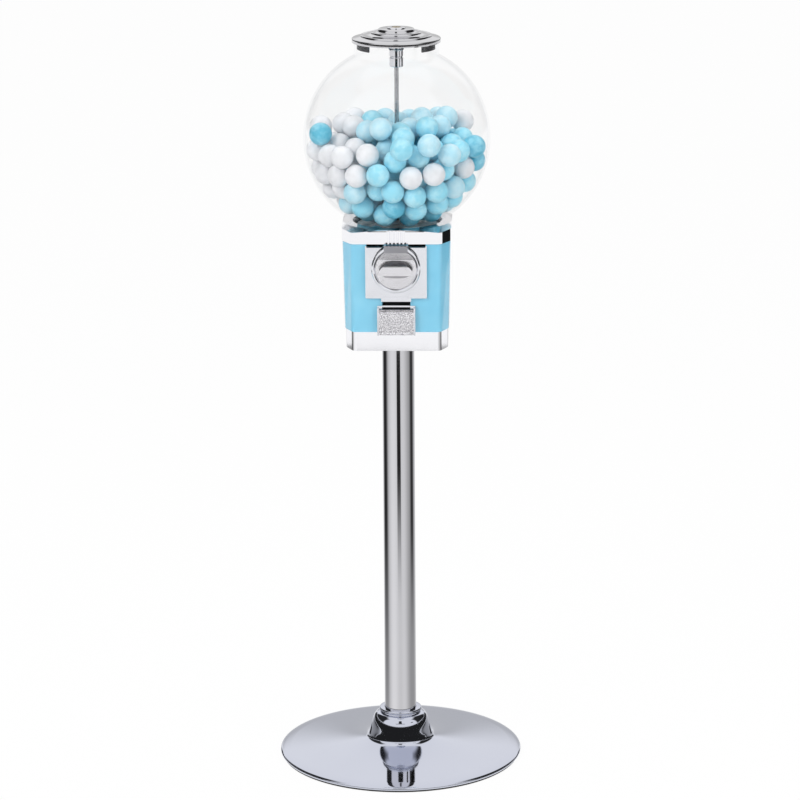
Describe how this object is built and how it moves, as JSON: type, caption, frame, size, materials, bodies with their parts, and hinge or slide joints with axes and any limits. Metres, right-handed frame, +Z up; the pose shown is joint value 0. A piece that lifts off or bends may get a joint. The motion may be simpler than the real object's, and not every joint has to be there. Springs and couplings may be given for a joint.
{
  "type": "gumball machine",
  "caption": "Gumball vending machine on a round stand: clear globe of gumballs, square metal body with coin knob and chute door, chromed pole and base.",
  "frame": {"origin": "on the floor under the middle of the round base", "axes": "+Z up the pole, the coin knob and chute door face -Y, +X is to the right seen from the front"},
  "size_m": [0.34, 0.34, 1.0318],
  "materials": {
    "chrome": "polished",
    "body_paint": "gloss",
    "satin_zinc": "satin",
    "hammered_zinc": "hammered",
    "steel": "satin",
    "cast_iron": "rough",
    "rubber": "matte",
    "clear": "clear",
    "white_plastic": "satin",
    "black_plastic": "satin",
    "gum": "satin",
    "brass": "satin"
  },
  "bodies": {
    "stand": {"foot_ring": "rubber", "base_dome": "chrome", "weight_plate": "cast_iron", "base_bolt": "steel", "base_washer": "steel", "pole_plug": "cast_iron", "pole": "chrome", "pole_flange": "cast_iron", "flange_screws": "steel", "base_trim": "chrome", "body_shell": "body_paint", "coin_box": "black_plastic", "collar": "chrome", "wheel_housing": "black_plastic", "drop_cover": "white_plastic", "globe_gasket": "rubber", "globe": "clear", "gumballs": "gum", "centre_rod": "steel", "rod_washer": "steel", "rod_nut": "steel", "lid_gasket": "rubber", "coin_plate": "satin_zinc", "slot_block": "satin_zinc", "pawl_pin": "steel", "pawl_spring": "steel", "mech_pillars": "steel", "back_plate": "steel", "shaft_bushing": "brass", "plate_screws": "steel", "chute": "black_plastic", "chute_frame": "satin_zinc", "hinge_pin": "steel"},
    "wheel": {"dispensing_wheel": "white_plastic", "wheel_gumballs": "gum"},
    "knob": {"knob": "satin_zinc", "coin_carrier": "steel", "knob_shaft": "steel", "ratchet": "steel", "drive_pinion": "white_plastic"},
    "pawl": {"pawl": "steel"},
    "chute_door": {"chute_door": "hammered_zinc"},
    "lid": {"lid": "chrome", "lid_clips": "black_plastic", "lock_barrel": "chrome", "lock_nut": "steel"},
    "lock_plug": {"lock_plug": "brass"}
  },
  "joints": [
    {"name": "knob_turn", "type": "hinge", "parent": "stand", "child": "knob", "pos_m": [0, -0.08, 0.7165], "axis": [0, 1, 0], "range_deg": [0, 360]},
    {"name": "wheel_turn", "type": "hinge", "parent": "stand", "child": "wheel", "pos_m": [0, 0, 0.7465], "axis": [0, 0, 1], "range_deg": [0, 72]},
    {"name": "pawl_swing", "type": "hinge", "parent": "stand", "child": "pawl", "pos_m": [-0.0245, -0.06785, 0.7125], "axis": [0, 1, 0], "range_deg": [0, 15], "stiffness_Nm_per_rad": 0.002, "springref_deg": -28.65},
    {"name": "door_swing", "type": "hinge", "parent": "stand", "child": "chute_door", "pos_m": [0, -0.0779, 0.6578], "axis": [-1, 0, 0], "range_deg": [0, 80]},
    {"name": "lid_lift", "type": "slide", "parent": "stand", "child": "lid", "axis": [0, 0, 1], "range_m": [0, 0.06]},
    {"name": "lock_turn", "type": "hinge", "parent": "lid", "child": "lock_plug", "pos_m": [0, 0, 1.03], "axis": [0, 0, 1], "range_deg": [0, 90]}
  ],
  "couplings": [
    {"joint": "wheel_turn", "follows": "knob_turn", "ratio": 0.2}
  ]
}
